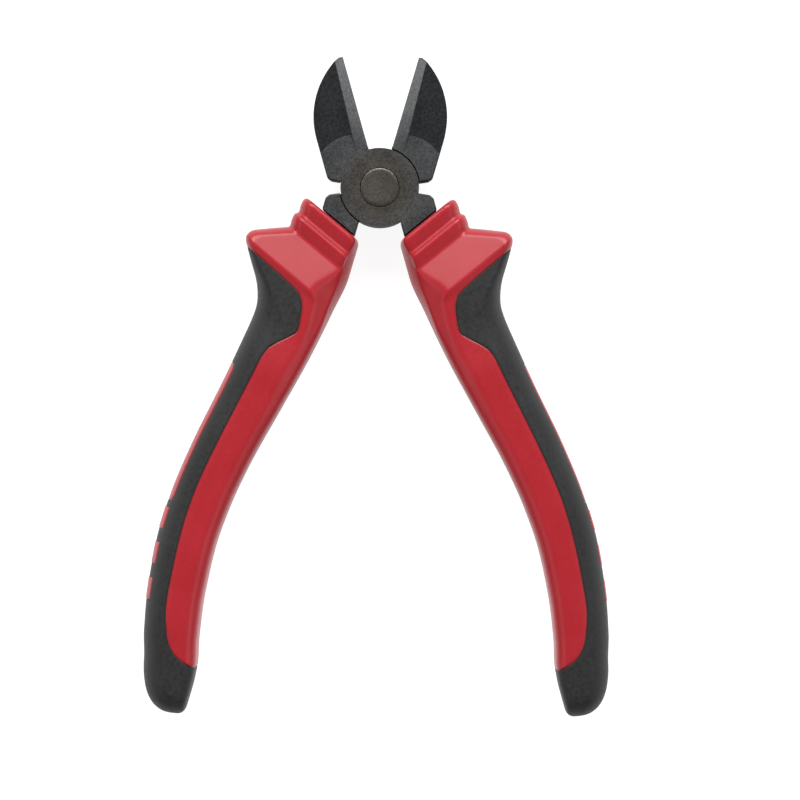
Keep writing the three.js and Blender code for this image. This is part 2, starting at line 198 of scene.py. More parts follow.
# %% [markdown]
# Behind the guard the outline comes from the photograph: the inner edge, the width, and how far the width
# leans. The section adds the inner bevel, the draft that lets the core leave its mould, and the rounded
# back. Each list pairs a share of the grip's length with a size, and has no more pairs than the shape needs.

# %% Outline and section behind the guard
inner_edge = [(0, 2.3), (0.12, 4.4), (0.25, 7.35), (0.41, 10.9), (0.51, 12.35), (0.6, 12.9)]
inner_edge += [(0.71, 12.3), (0.82, 10.7), (0.89, 9.2), (0.94, 8.9), (1, 8.9)]
widths = [(0.03, 22.4), (0.06, 18.8), (0.1, 16.5), (0.16, 15.7), (0.25, 14.9), (0.41, 14.2)]
widths += [(0.61, 13.6), (0.82, 12.7), (0.89, 12.2), (1, 11)]
leans = [(0, neck_lean), (0.1, 20), (0.2, 13), (0.3, 7.5), (0.46, 2), (0.61, -2), (0.76, -6)]
leans += [(0.9, -9), (1, -9)]
bevels = [(0, 6.2), (0.06, 4.8), (0.17, 3.7), (0.27, 2.8), (0.5, 2.4), (1, 2)]
drafts = [(0, 1.25), (0.06, 0.55), (0.2, 0.15)]
noses = [(0, 2.6), (0.08, 6), (0.3, 7), (1, 6.5)]


def behind_guard(pairs):
    return [(back_of(share), size) for share, size in pairs]


inner_at = smooth([(collar_back, collar_edge), (groove_back, collar_edge)] + behind_guard(inner_edge))
lean_at = smooth(behind_guard(leans))
bevel_at = smooth([(collar_back, 1.5), (groove_back, 2.5)] + behind_guard(bevels))
draft_at = smooth([(collar_back, 0.7), (groove_back, 2)] + behind_guard(drafts))
nose_at = smooth([(collar_back, 3), (groove_back, 3)] + behind_guard(noses))
side_at = smooth([(collar_back, 6.2), (groove_back, 5.3), (crest_back, 5.9), (belly_start, 7.2)])
print("inner edge, closed, from", inner_at(collar_back), "to", inner_at(tip_back), "mm off the middle line")

# %% [markdown]
# The ribs give a hold to a hand that reaches forward. They could be rings, but on the real grip they are
# part of the core, so they are a sawtooth in its thickness and in its outer edge. In front of the crest the
# neck's curves hold and behind it the grip's, and both are softened where they meet.

# %% Thickness and width
half_reach = 0.55
facet_reach = 0.45
edge_reach = straight([(groove_back, 0.4), (crest_back - guard_nose, 0.8), (crest_back + guard_fall, 0.8)])


def ribs(first, step_in):
    """The sawtooth of the collar: each rib rises steeply on the jaw side and falls away behind."""
    pairs = [(collar_back, first)]
    for rib in range(rib_count):
        start = collar_back + rib * rib_pitch
        top = first - rib * step_in
        pairs.append((start + rib_rise, top))
        pairs.append((start + (rib_rise + rib_pitch) / 2, top - rib_drop * rib_bulge))
        pairs.append((start + rib_pitch, top - rib_drop))
    return pairs


def neck_then_grip(neck, grip):
    return lambda back: np.where(back <= crest_back, neck(back), grip(back))


neck_half = straight(ribs(collar_half, 0) + [(crest_back, belly_half)])
pad = [(crest_back + guard_fall, pad_half), (pad_end, pad_half), (belly_start, belly_half)]
belly = [(crest_back, belly_half), (belly_end, belly_half), (tip_back, pad_half)]
grip_half = smooth(belly[:1] + pad + belly[1:])
facet_half = smooth(belly)
guard_edge = [(crest_back - guard_nose, guard_out), (crest_back, guard_out)]
neck_out = straight(ribs(collar_out, rib_step_in) + guard_edge)


def neck_width(back):
    lean = math.radians(neck_lean)
    return neck_out(back) - inner_at(back) * math.cos(lean) + back * math.sin(lean)


grip_width = smooth([(crest_back, neck_width(crest_back))] + behind_guard(widths))
half_at = softened(neck_then_grip(neck_half, grip_half), lambda back: half_reach)
facet_top = softened(neck_then_grip(neck_half, facet_half), lambda back: facet_reach)
width_at = softened(neck_then_grip(neck_width, grip_width), edge_reach)
print("width at the crest and belly:", width_at(crest_back).round(2), width_at(belly_end).round(2), "mm")

# %% [markdown]
# A section of the grip goes from its inner edge over the top to its spine: a drafted side, a bevel, a flat
# face and a rounded back. The mould's corners are rounded, so each corner is turned with a short curve. A
# Bevel modifier could round them afterwards, but it could blunt the fine ribs as well.

# %% Lines and corners of a section
corner_limit = 0.45


def line(start, end, count):
    share = (np.arange(count) / count)[:, None]
    return start[:, None] + (end - start)[:, None] * share


def turn(start, corner, end, count):
    t = (np.arange(count) / count)[:, None]
    first = start[:, None] * (1 - t) ** 2 + corner[:, None] * 2 * t * (1 - t)
    return first + end[:, None] * t**2


def toward(corner, other, reach):
    """Points this far from the corners, towards other points."""
    away = other - corner
    length = np.linalg.norm(away, axis=1, keepdims=True)
    return corner + away * np.minimum(np.reshape(reach, (-1, 1)) / length, corner_limit)


print("the turn of a corner takes at most", corner_limit, "of a side")

# %% [markdown]
# All sections have the same number of points. That makes the grip a tidy grid, which is easy to skin and to
# cut. At the collar and at the tail the whole section is drawn in, which rounds the two ends of the grip.

# %% Sections of the grip
collar_round = 1.4
collar_side_in = 0.8
collar_face_in = 0.9
tail_inner_round = 1.5
tail_outer_round = 7.3
tail_outer_run = 11.5
tail_face_round = 5.0
side_round = smooth([(groove_back, 0.5), (crest_back, 0.6), (belly_start, 3.0)])
side_bow = 0.4
bevel_round = 1.2
nose_depth = 1.3  # height of the back's rounding, as a share of its width
spine_flat = 0.5
side_limit = 0.9
bevel_limit = 0.4
draft_limit = 0.9
least_rise = 0.1
STEPS = {"side": 8, "side_corner": 5, "bevel": 8, "bevel_corner": 6, "face": 26, "nose": 16, "spine": 3}


def section_points(back, wall):
    """Half sections at these places, drawn in by a wall: distance from the inner edge, and height."""
    before = tip_back - back
    collar_in = drawn_in(1, collar_round, back - collar_back)
    tail_in = drawn_in(tail_face_round, tail_face_round, before)
    start = drawn_in(tail_inner_round, tail_inner_round, before) + collar_side_in * collar_in + wall
    tail_out = drawn_in(tail_outer_round, tail_outer_run, before)
    end = width_at(back) - tail_out - collar_face_in * collar_in - wall
    half = half_at(back) - tail_in - collar_face_in * collar_in - wall
    nose = np.minimum(nose_at(back), (end - start) / 2)
    nose_drop = np.minimum(half - spine_flat / 2, nose * nose_depth)
    bevel = np.minimum(bevel_at(back), (end - start) * bevel_limit)
    draft = np.minimum(draft_at(back), bevel * draft_limit)
    side = np.minimum(side_at(back), half * side_limit)
    rise = np.maximum(facet_top(back) - tail_in - wall - side, least_rise)
    bevel = draft + (bevel - draft) * np.minimum((half - side) / rise, 1)

    parting = np.column_stack((start, 0 * half))
    bowed = np.column_stack((start, side * side_bow))
    low = np.column_stack((start + draft, side))
    high = np.column_stack((start + bevel, half))
    shoulder = np.column_stack((end - nose, half))
    spine = np.column_stack((end, half - nose_drop))
    middle = np.column_stack((end, 0 * half))

    low_in, low_out = toward(low, bowed, side_round(back)), toward(low, high, side_round(back))
    high_in, high_out = toward(high, low, bevel_round), toward(high, shoulder, bevel_round)
    angle = (np.arange(STEPS["nose"]) / STEPS["nose"] * math.pi / 2)[None]
    nose_out = (end - nose)[:, None] + nose[:, None] * np.sin(angle)
    nose_up = (half - nose_drop)[:, None] + nose_drop[:, None] * np.cos(angle)
    stretches = (
        turn(parting, bowed, low_in, STEPS["side"]),
        turn(low_in, low, low_out, STEPS["side_corner"]),
        line(low_out, high_in, STEPS["bevel"]),
        turn(high_in, high, high_out, STEPS["bevel_corner"]),
        line(high_out, shoulder, STEPS["face"]),
        np.stack((nose_out, nose_up), axis=2),
        line(spine, middle, STEPS["spine"]),
        middle[:, None],
    )
    return np.concatenate(stretches, axis=1)


def grip_grid(back, wall):
    """Whole sections round the grip, as points of the closed half."""
    top = section_points(back, wall)
    under = top[:, -2:0:-1] * np.array([1, -1])
    ring = np.concatenate((top, under), axis=1)
    lean = np.radians(lean_at(back))[:, None]
    x = inner_at(back)[:, None] + ring[:, :, 0] * np.cos(lean)
    y = -back[:, None] + ring[:, :, 0] * np.sin(lean)
    return np.stack((x, y, ring[:, :, 1]), axis=2)


print("points round a section:", grip_grid(np.array([crest_back]), 0).shape[1])

# %% [markdown]
# The grid's rows lie close together where the shape turns quickly: round the collar, over the ribs and at
# the tail. Under the sleeve the core is a second, smaller skin. It stops short of the tail, where the soft
# shot is thickest. A Solidify modifier could make that second skin, but it can cross itself in the narrow
# tail.

# %% Rows of the grip's grid
sleeve_wall = 2.2
sleeve_tail_wall = 6.0
fine_run = 5
fine_end = crest_back + fine_run
fine_step = 0.25
collar_count = 9
belly_count = 110
tail_count = 26
tail_start = tip_back - tail_outer_run

collar_rows = collar_back + collar_round * (1 - np.cos(np.linspace(0, math.pi / 2, collar_count)))
fine_rows = np.arange(collar_back + collar_round, fine_end, fine_step)[1:]
belly_rows = np.linspace(fine_end, tail_start, belly_count)
tail_rows = tail_start + tail_outer_run * np.sin(np.linspace(0, math.pi / 2, tail_count))[1:]
rows = np.concatenate((collar_rows, fine_rows, belly_rows, tail_rows))

shortened = tail_start + (rows - tail_start) * (1 - sleeve_tail_wall / tail_outer_run)
inner_rows = np.where(rows < tail_start, rows, shortened)
skin = grip_grid(rows, 0)
under_skin = grip_grid(np.maximum(inner_rows, collar_back + collar_round), sleeve_wall)
print("grid of", skin.shape[0], "rows and", skin.shape[1], "columns")

# %% [markdown]
# The seam is where the black sleeve stops on the red core. On the real grip the second shot fills a step in
# the first. A painted mask could fake it, but then both materials would share one piece. We draw the seam as
# one smooth line in plan and measure how far each point of the skin lies from it, and on which side.

# %% Seam of the sleeve
seam = [(0.009, 1.35), (0.011, 1), (0.016, 0.45), (0.024, 0.345), (0.045, 0.318), (0.085, 0.305)]
seam += [(0.105, 0.37), (0.14, 0.54), (0.165, 0.612), (0.22, 0.62), (0.5, 0.617), (0.72, 0.607)]
seam += [(0.81, 0.565), (0.855, 0.44), (0.878, 0.2), (0.888, -0.05), (0.893, -0.35)]
seam_steps = 16


def across_grip(back, distance):
    lean = np.radians(lean_at(back))
    return np.column_stack((inner_at(back) + distance * np.cos(lean), -back + distance * np.sin(lean)))


def spline(points, steps):
    """A smooth line through the points."""
    ends = np.vstack((points[:1], points, points[-1:]))
    t = (np.arange(steps) / steps)[:, None]
    stretches = []
    for before, start, end, after in zip(ends, ends[1:], ends[2:], ends[3:]):
        leaving, arriving = (end - before) / 2, (after - start) / 2
        bend = 3 * (end - start) - 2 * leaving - arriving
        stretches.append(start + leaving * t + bend * t**2 + (2 * (start - end) + leaving + arriving) * t**3)
    return np.vstack(stretches + [points[-1:]])


def beside(points, path):
    """Distance of plan points from a path, above zero on its left."""
    nearest = np.full(len(points), np.inf)
    signed = np.zeros(len(points))
    for start, end in zip(path, path[1:]):
        run = end - start
        share = np.clip((points - start) @ run / (run @ run), 0, 1)
        apart = points - start - share[:, None] * run
        distance = np.hypot(apart[:, 0], apart[:, 1])
        closer = distance < nearest
        facing = np.sign(run[0] * apart[:, 1] - run[1] * apart[:, 0])
        signed[closer] = (distance * facing)[closer]
        nearest[closer] = distance[closer]
    return signed


seam_shares, seam_widths = np.array(seam).T
seam_back = back_of(seam_shares)
seam_end = width_at(seam_back) - drawn_in(tail_outer_round, tail_outer_run, tip_back - seam_back)
seam_path = spline(across_grip(seam_back, seam_widths * seam_end), seam_steps)
from_seam = beside(skin[:, :, :2].reshape(-1, 2), seam_path).reshape(skin.shape[:2])
print("seam of", len(seam_path), "points, from", seam_path[0].round(1), "to", seam_path[-1].round(1), "mm")

# %% [markdown]
# Along the spine the sleeve has a long rounded opening, where the core shows through as an inlay. A red
# strip laid on top would be simpler, but the seam's dip has to run round the inlay too. So it is measured
# the same way as the seam, and the smaller distance holds.

# %% Inlay on the spine
inlay_height = 8.4
inlay_shift = -1.0
inlay_start = 21.0
inlay_length = 31.0
inlay_round = 1.5
spine_columns = 16

inlay_middle = crest_back + inlay_start + inlay_length / 2
past_end = np.abs(rows - inlay_middle)[:, None] - inlay_length / 2 + inlay_round
past_edge = np.abs(skin[:, :, 2] - inlay_shift) - inlay_height / 2 + inlay_round
from_inlay = np.hypot(np.maximum(past_end, 0), np.maximum(past_edge, 0)) - inlay_round
from_inlay = from_inlay + np.minimum(np.maximum(past_end, past_edge), 0)
columns = skin.shape[1]
on_spine = np.abs(np.arange(columns) - columns // 2) < spine_columns
field = np.minimum(from_seam, np.where(on_spine[None], from_inlay, np.inf))
print("points of the skin under the sleeve:", int((field > 0).sum()), "of", field.size)

# %% [markdown]
# Now the skin is cut along the seam. Edges that cross the seam are split there and at a few lines beside it,
# which gives a clean border and room to round it: both materials dip towards the seam, as the real joint
# does. A Boolean would cut too, but it can leave long thin faces that shade badly.

# %% Cut the skin along the seam
groove_half = 0.34
groove_depth = 0.15
groove_lines = (-1, -0.5, 0, 0.5, 1)
hair = 1e-5  # keeps a cut off points that lie right on it


def grip_faces(count, columns):
    faces = []
    for row in range(count - 1):
        for k in range(columns):
            a = row * columns + k
            b = row * columns + (k + 1) % columns
            faces.append((a, a + columns, b + columns, b))
    faces.append(tuple(range(columns)))
    faces.append(tuple(reversed(range((count - 1) * columns, count * columns))))
    return faces


def split_edges(work, distance, level):
    """Splits every edge that crosses this distance from the seam, and joins the new points."""
    made = []
    for edge in list(work.edges):
        a, b = edge.verts
        if (a[distance] - level) * (b[distance] - level) >= 0:
            continue
        part = (level - a[distance]) / (b[distance] - a[distance])
        new_vert = bmesh.utils.edge_split(edge, a, part)[1]
        new_vert[distance] = level
        made.append(new_vert)
    bmesh.ops.connect_verts(work, verts=made)


def cut_skin():
    """The skin cut along the seam: points, points of the skin below, distances from the seam, and faces."""
    work = bmesh.new()
    distance = work.verts.layers.float.new("distance")
    below = work.verts.layers.float_vector.new("below")
    for place, inner, value in zip(skin.reshape(-1, 3), under_skin.reshape(-1, 3), field.reshape(-1)):
        vert = work.verts.new(place)
        vert[below] = inner
        vert[distance] = value
    work.verts.ensure_lookup_table()
    for face in grip_faces(*skin.shape[:2]):
        work.faces.new([work.verts[k] for k in face])
    for share in groove_lines:
        split_edges(work, distance, share * groove_half + hair)
    work.verts.index_update()
    points = np.array([vert.co for vert in work.verts])
    inners = np.array([vert[below] for vert in work.verts])
    values = np.array([vert[distance] for vert in work.verts])
    faces = [[vert.index for vert in face.verts] for face in work.faces]
    work.free()
    dip = groove_depth * np.clip(1 - np.abs(values) / groove_half, 0, 1) ** 2
    return points + (inners - points) * (dip / sleeve_wall)[:, None], inners, values, faces


cut_points, cut_inners, cut_values, cut_faces = cut_skin()
print("cut skin:", len(cut_points), "points,", len(cut_faces), "faces")

# %% [markdown]
# The cut skin becomes two closed pieces. The core has the outer skin before the seam, the lower skin behind
# it and a wall between them. The sleeve has the outer skin behind the seam, the lower skin as its inside,
# and the same wall. Each point also keeps its distance from the seam, which the materials read later.

# %% Core and sleeve
grip_crease = math.radians(38)
far_from_seam = 20


def split_at_seam():
    """Faces of the core and of the sleeve, as corners (point, whether it is on the lower skin)."""
    core, sleeve, border = [], [], {}
    for face in cut_faces:
        red = np.mean(cut_values[face]) < 0
        if red:
            core.append([(k, False) for k in face])
        else:
            core.append([(k, True) for k in face])
            sleeve.append([(k, False) for k in face])
            sleeve.append([(k, True) for k in reversed(face)])
        for a, b in zip(face, face[1:] + face[:1]):
            border[a, b] = red
    for (a, b), red in border.items():
        if red and border.get((b, a)) is False:
            core.append([(b, False), (a, False), (a, True), (b, True)])
            sleeve.append([(a, False), (b, False), (b, True), (a, True)])
    return core, sleeve


def closed_piece(corner_faces):
    """Points, faces and seam distances of one piece, with only the corners that it uses."""
    used = {}
    faces = [[used.setdefault(corner, len(used)) for corner in face] for face in corner_faces]
    points = np.array([cut_inners[k] if lower else cut_points[k] for k, lower in used])
    values = np.array([cut_values[k] for k, lower in used])
    return points, faces, values


def finish_moulding(mesh, crease, distances):
    """Smooth shading up to a crease, and the distances from the seam as an attribute."""
    mesh.shade_smooth()
    mesh.set_sharp_from_angle(angle=crease)
    stored = mesh.attributes.new("seam_distance", "FLOAT", "POINT")
    stored.data.foreach_set("value", np.clip(distances, -far_from_seam, far_from_seam).astype(np.float32))


def add_grip(name, part, side):
    points, faces, values = part
    mesh = bpy.data.meshes.new(name)
    mesh.from_pydata(placed(points, side), [], faces)
    finish_moulding(mesh, grip_crease, values)
    return new_piece(name, mesh, side, name)


core_faces, sleeve_faces = split_at_seam()
core_part = closed_piece(core_faces)
sleeve_part = closed_piece(sleeve_faces)
cores = [add_grip(f"{side}_grip_core", core_part, side) for side in SIDES]
sleeves = [add_grip(f"{side}_grip_sleeve", sleeve_part, side) for side in SIDES]
print("core:", len(core_part[1]), "faces; sleeve:", len(sleeve_part[1]), "faces")

# %% [markdown]
# Materials come next. None of these surfaces is one even colour: moulded plastic has a fine grain and faint
# blotches, both plastics get painted shade where they dip into the seam, and steel shows specks, grinding
# lines and a warm tint near the joint. Small helpers add a node and join its inputs, so that each material
# below reads as a short list.

# %% Helpers for node trees
def feed(tree, node, inputs):
    """Gives each named input a value, or joins another node's output to it."""
    for name, value in inputs.items():
        if isinstance(value, bpy.types.NodeSocket):
            tree.links.new(value, node.inputs[name])
        else:
            node.inputs[name].default_value = value


def add(tree, kind, inputs=None, **settings):
    """A new node with its settings and inputs."""
    node = tree.nodes.new(kind)
    for name, value in settings.items():
        setattr(node, name, value)
    feed(tree, node, inputs or {})
    return node


def worked_out(tree, operation, *values):
    """One step of arithmetic."""
    return add(tree, "ShaderNodeMath", dict(enumerate(values)), operation=operation).outputs[0]


def vector_step(tree, operation, *values):
    """One step of arithmetic on vectors."""
    return add(tree, "ShaderNodeVectorMath", dict(enumerate(values)), operation=operation).outputs


def ranged(tree, value, source, target):
    """A value carried over from one range to another."""
    limits = dict(zip(("From Min", "From Max", "To Min", "To Max"), (*source, *target)))
    return add(tree, "ShaderNodeMapRange", {"Value": value, **limits}).outputs["Result"]


def mixed(tree, share, first, second, blend="MIX"):
    """A colour made of two colours, mixed or otherwise blended."""
    inputs = {0: share, 6: first, 7: second}
    return add(tree, "ShaderNodeMix", inputs, data_type="RGBA", blend_type=blend).outputs[2]


def noise(tree, place, scale, detail=2):
    return add(tree, "ShaderNodeTexNoise", {"Vector": place, "Scale": scale, "Detail": detail}).outputs["Fac"]


def raised_by(tree, height, strength, depth):
    """A bump of the surface; its depth is in millimetres."""
    inputs = {"Height": height, "Strength": strength, "Distance": depth * MM}
    return add(tree, "ShaderNodeBump", inputs).outputs["Normal"]


def grey(level, warm=0):
    """A grey, a little warmer or, below zero, colder."""
    return (level * (1 + warm), level, level * (1 - warm), 1)


print("a warm grey:", grey(0.5, 0.1))

# %% [markdown]
# Effects that several materials share are node groups. We build each once and use it with a material's own
# values. A group has named sockets, and it puts out only colours, masks and values; the shader stays
# outside.

# %% Helpers for groups and materials
def new_group(name, kind, inputs, outputs):
    """A node group with named sockets, what it is given, and its output node."""
    tree = bpy.data.node_groups.new(name, kind)
    for label, socket in inputs.items():
        tree.interface.new_socket(label, in_out="INPUT", socket_type="NodeSocket" + socket)
    for label, socket in outputs.items():
        tree.interface.new_socket(label, in_out="OUTPUT", socket_type="NodeSocket" + socket)
    return tree, tree.nodes.new("NodeGroupInput").outputs, tree.nodes.new("NodeGroupOutput")


def use_group(tree, group, inputs):
    return add(tree, "ShaderNodeGroup", inputs, node_tree=group).outputs


def new_material(name):
    """A material with its tree, its shader and the place of each point on the piece."""
    material = bpy.data.materials.new(name)
    material.use_nodes = True
    tree = material.node_tree
    shader = tree.nodes["Principled BSDF"]
    place = add(tree, "ShaderNodeTexCoord").outputs["Object"]
    return material, tree, shader, place


print("node groups so far:", len(bpy.data.node_groups))

# %% [markdown]
# Two effects for the plastics. The grain gives fine and coarse mottling, as the etched wall of a mould
# leaves it. The seam shade mask places painted shade in the seam's dip. It is one at the seam and fades
# beside it, from the distances that we stored on the grips.

# %% Effects of moulding, and the mask of painted seam shade
fine_detail = 3
grain_sockets = {"Place": "Vector", "Fine": "Float", "Coarse": "Float"}
grain_group, given, result = new_group(
    "moulding_grain", "ShaderNodeTree", grain_sockets, {"Grain": "Float", "Blotch": "Float"}
)
fine = noise(grain_group, given["Place"], given["Fine"], fine_detail)
coarse = noise(grain_group, given["Place"], given["Coarse"])
feed(grain_group, result, {"Grain": fine, "Blotch": coarse})

# A mask for painted shade: one at the seam, fading out at the given width beside it.
seam_shade_group, given, result = new_group("seam_shade_mask", "ShaderNodeTree", {"Width": "Float"}, {"Mask": "Float"})
stored = add(seam_shade_group, "ShaderNodeAttribute", attribute_name="seam_distance").outputs["Fac"]
apart = worked_out(seam_shade_group, "ABSOLUTE", stored)
feed(seam_shade_group, result, {"Mask": ranged(seam_shade_group, apart, (0, given["Width"]), (1, 0))})
print("effects of moulding:", grain_group.name, seam_shade_group.name)

# %% [markdown]
# Two effects for the steels. The marks give small specks, lines stretched along the grinding, and slow
# clouds. The rivet's tint browns the steel near the rivet, which was set hot, and leaves a trace of blue
# further out.

# %% Effects of steel
speck_detail = 4
cloud_scale = 160
tint_start = 5.0
tint_end = 11.0
tint_near = grey(1, 0.11)
tint_far = grey(1, -0.03)

mark_sockets = {"Place": "Vector", "Specks": "Float", "Lines": "Vector"}
steel_group, given, result = new_group(
    "steel_marks", "ShaderNodeTree", mark_sockets, {"Speck": "Float", "Line": "Float", "Cloud": "Float"}
)
stretched = vector_step(steel_group, "MULTIPLY", given["Place"], given["Lines"])[0]
specks = noise(steel_group, given["Place"], given["Specks"], speck_detail)
lines = noise(steel_group, stretched, 1)
clouds = noise(steel_group, given["Place"], cloud_scale)
feed(steel_group, result, {"Speck": specks, "Line": lines, "Cloud": clouds})

tint_group, given, result = new_group("rivet_tint", "ShaderNodeTree", {"Place": "Vector"}, {"Tint": "Color"})
from_pivot = vector_step(tint_group, "SUBTRACT", given["Place"], pivot * MM)[0]
in_plan = vector_step(tint_group, "MULTIPLY", from_pivot, (1, 1, 0))[0]
away = vector_step(tint_group, "LENGTH", in_plan)["Value"]
near = ranged(tint_group, away, (tint_start * MM, tint_end * MM), (1, 0))
feed(tint_group, result, {"Tint": mixed(tint_group, near, tint_far, tint_near)})
print("effects of steel:", steel_group.name, tint_group.name)

# %% [markdown]
# The red core is a hard plastic with a half gloss; the sleeve is a soft rubber with a dull, grained face.
# Both are built by one function, because they differ only in their values: the grain mottles the colour,
# roughens the gloss and raises a fine bump, and painted shade darkens the dip between the two.

# %% Plastics
FULL = (0, 1)
CORE = (0.35, 0.65)  # where most values of a noise lie
WIDE = (0.3, 0.7)
blotch_scale = 90
# width of the painted shade beside the seam, in millimetres
seam_shade_width = 0.5
bump_height = 0.03
sheen_roughness = 0.35
WHITE = grey(1)


def plastic(name, dark, light, seam_shade_colour, roughness, fine, speckle, bump, sheen, sheen_tint=WHITE):
    material, tree, shader, place = new_material(name)
    grain = use_group(tree, grain_group, {"Place": place, "Fine": fine, "Coarse": blotch_scale})
    seam_shade = use_group(tree, seam_shade_group, {"Width": seam_shade_width})["Mask"]
    mottle = add(tree, "ShaderNodeMix", {0: speckle, 2: grain["Blotch"], 3: grain["Grain"]}).outputs[0]
    colour = mixed(tree, ranged(tree, mottle, CORE, FULL), dark, light)
    look = {
        # painted shade: the colour darkens towards the seam's dip
        "Base Color": mixed(tree, seam_shade, colour, seam_shade_colour),
        "Roughness": ranged(tree, grain["Grain"], WIDE, roughness),
        "Normal": raised_by(tree, grain["Grain"], bump, bump_height),
        "Sheen Weight": sheen,
        "Sheen Roughness": sheen_roughness,
        "Sheen Tint": sheen_tint,
    }
    feed(tree, shader, look)
    return material


red_plastic = plastic(
    "red_plastic",
    dark=(0.35, 0.007, 0.014, 1),
    light=(0.385, 0.011, 0.02, 1),
    # painted shade in the seam's dip
    seam_shade_colour=(0.2, 0.003, 0.006, 1),
    roughness=(0.33, 0.43),
    fine=1800,
    speckle=0.3,
    bump=0.2,
    sheen=0.35,
    sheen_tint=(1, 0.4, 0.42, 1),
)
black_rubber = plastic(
    "black_rubber",
    dark=(0.004, 0.0042, 0.0045, 1),
    light=(0.019, 0.0192, 0.02, 1),
    # painted shade in the seam's dip
    seam_shade_colour=(0.005, 0.005, 0.0055, 1),
    roughness=(0.56, 0.74),
    fine=1300,
    speckle=0.75,
    bump=0.8,
    sheen=0.05,
)
for piece in cores:
    piece.data.materials.append(red_plastic)
for piece in sleeves:
    piece.data.materials.append(black_rubber)
print("plastics:", red_plastic.name, black_rubber.name)

# %% [markdown]
# The steel has several finishes. The joint is machined and dull grey, the jaws keep the dark skin of the
# forging, the cutting edges are ground brighter, handled corners are a little worn and painted darker as
# shade that dims the glint they catch, and the rivet is turned.
# One function makes them all. A darkened surface hardly shines at a low angle, so its edge reflection is
# dimmed; ground steel keeps it.

# %% Steels
even = (2400, 2400, 2400)
along_edge = (300, 6000, 6000)
mark_bump = 0.2
mark_height = 0.02
dim_edge = 0.3


def steel(name, dark, light, roughness, specks, line_share, lines=even, edge=dim_edge):
    material, tree, shader, place = new_material(name)
    marks = use_group(tree, steel_group, {"Place": place, "Specks": specks, "Lines": lines})
    speck = ranged(tree, marks["Speck"], CORE, FULL)
    streak = ranged(tree, marks["Line"], WIDE, FULL)
    share = add(tree, "ShaderNodeMix", {0: line_share, 2: speck, 3: streak}).outputs[0]
    colour = mixed(tree, share, dark, light)
    tint = use_group(tree, tint_group, {"Place": place})["Tint"]
    look = {
        "Base Color": mixed(tree, 1.0, colour, tint, "MULTIPLY"),
        "Roughness": ranged(tree, marks["Cloud"], WIDE, roughness),
        "Normal": raised_by(tree, share, mark_bump, mark_height),
        "Metallic": 1,
        "Specular Tint": grey(edge),
    }
    feed(tree, shader, look)
    return material


joint_steel = steel("joint_steel", grey(0.065), grey(0.155), (0.36, 0.5), specks=2600, line_share=0.3)
forged_skin = steel(
    "forged_skin", grey(0.02, -0.03), grey(0.042, -0.03), (0.4, 0.55), specks=1500, line_share=0.3
)
ground_steel = steel("ground_steel", grey(0.06), grey(0.17), (0.3, 0.42), 1700, 0.35, along_edge, edge=1)
# Worn corners, darker than the joint: painted shade that dims the glint the rounded corners catch.
worn_shaded_steel = steel("worn_shaded_steel", grey(0.05), grey(0.09), (0.3, 0.4), specks=2600, line_share=0.5)
rivet_steel = steel("rivet_steel", grey(0.08), grey(0.155), (0.36, 0.48), specks=2200, line_share=0.4)
STEELS = [joint_steel, forged_skin, ground_steel, worn_shaded_steel]
JOINT, FORGED, GROUND, WORN_SHADED = range(len(STEELS))
print("steels:", [material.name for material in STEELS], "and", rivet_steel.name)

# %% [markdown]
# The levers keep the frame's own shape. Each face takes the finish of its place: ground along the cutting
# edge, forged on the jaw above the machined arc, and machined everywhere else. The places are those of the
# closed half, so one rule serves both levers.

# %% Finish of a lever's faces
lever_low, lever_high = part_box("front_lever")
joint_half = (lever_high.z - lever_low.z) / 2 / MM
joint_radius = 9.0
arc_centre = (-4.6, 3.4)
arc_radius = 10.0
step_depth = 0.2
flat_facing = 0.9
bevel_facing = 0.5


def finish_of(centre, normal):
    """Which steel a face of the closed half takes."""
    on_jaw = centre[1] > arc_centre[1] and centre[0] < 0
    if on_jaw and normal[0] > bevel_facing:
        return GROUND
    flat = abs(normal[2]) > flat_facing
    if on_jaw and (not flat or abs(centre[2]) < joint_half - step_depth):
        return FORGED
    return JOINT


print("the joint is", round(2 * joint_half, 2), "mm thick")

# %% [markdown]
# A forging has no knife-sharp corners apart from its cutting edge, so most corners are rounded a little.
# What stays sharp is the cutting edge, the jaw's tip, the seat that the rivet is pressed into, and the rims
# that are turned or milled: the round joint and the machined arc.

# %% Corners that stay sharp
keen_reach = 0.2
seat_radius = 5.0
tip_reach = 29.9
rim_reach = 0.4
arc_reach = 0.1


def keen(points):
    """Whether an edge between these points of the closed half stays sharp."""
    x, y = points[:, 0], points[:, 1]
    cutting = (np.abs(x) < keen_reach) & (y > arc_centre[1])
    seat = np.hypot(x, y) < seat_radius
    rim = np.abs(np.hypot(x, y) - joint_radius) < rim_reach
    arc = np.abs(np.hypot(x - arc_centre[0], y - arc_centre[1]) - arc_radius) < arc_reach
    return bool(np.any(cutting | seat) or any(np.all(kept) for kept in (y > tip_reach, rim, arc)))


print("the jaw's tip stays sharp:", keen(np.array([(-0.5, 31.0), (-1.0, 31.0)])))

# %% [markdown]
# The frame's triangles are separate, so we merge a copy of them, join the flat faces and round the corners
# with a bevel whose faces take the worn steel, painted darker as shade against their glint. The broad faces
# keep sharp borders, so that the light lies evenly on them.

# %% Levers
edge_round = 0.2
weld_distance = 0.005
sliver_distance = 0.03
flat_angle = math.radians(2)
corner_angle = math.radians(20)
crease_angle = math.radians(25)
broad_facing = 0.3


def mesh_from(work, name):
    """A plain mesh from a working mesh, which is then let go."""
    mesh = bpy.data.meshes.new(name)
    work.to_mesh(mesh)
    work.free()
    return mesh


def merged_copy(node):
    """The node's triangles merged, without slivers, and with its flat faces joined."""
    work = bmesh.new()
    work.from_mesh(frame["nodes"][node].data)
    bmesh.ops.remove_doubles(work, verts=work.verts, dist=weld_distance * MM)
    bmesh.ops.dissolve_degenerate(work, dist=sliver_distance * MM, edges=work.edges)
    bmesh.ops.dissolve_limit(work, angle_limit=flat_angle, verts=work.verts, edges=work.edges)
    return work


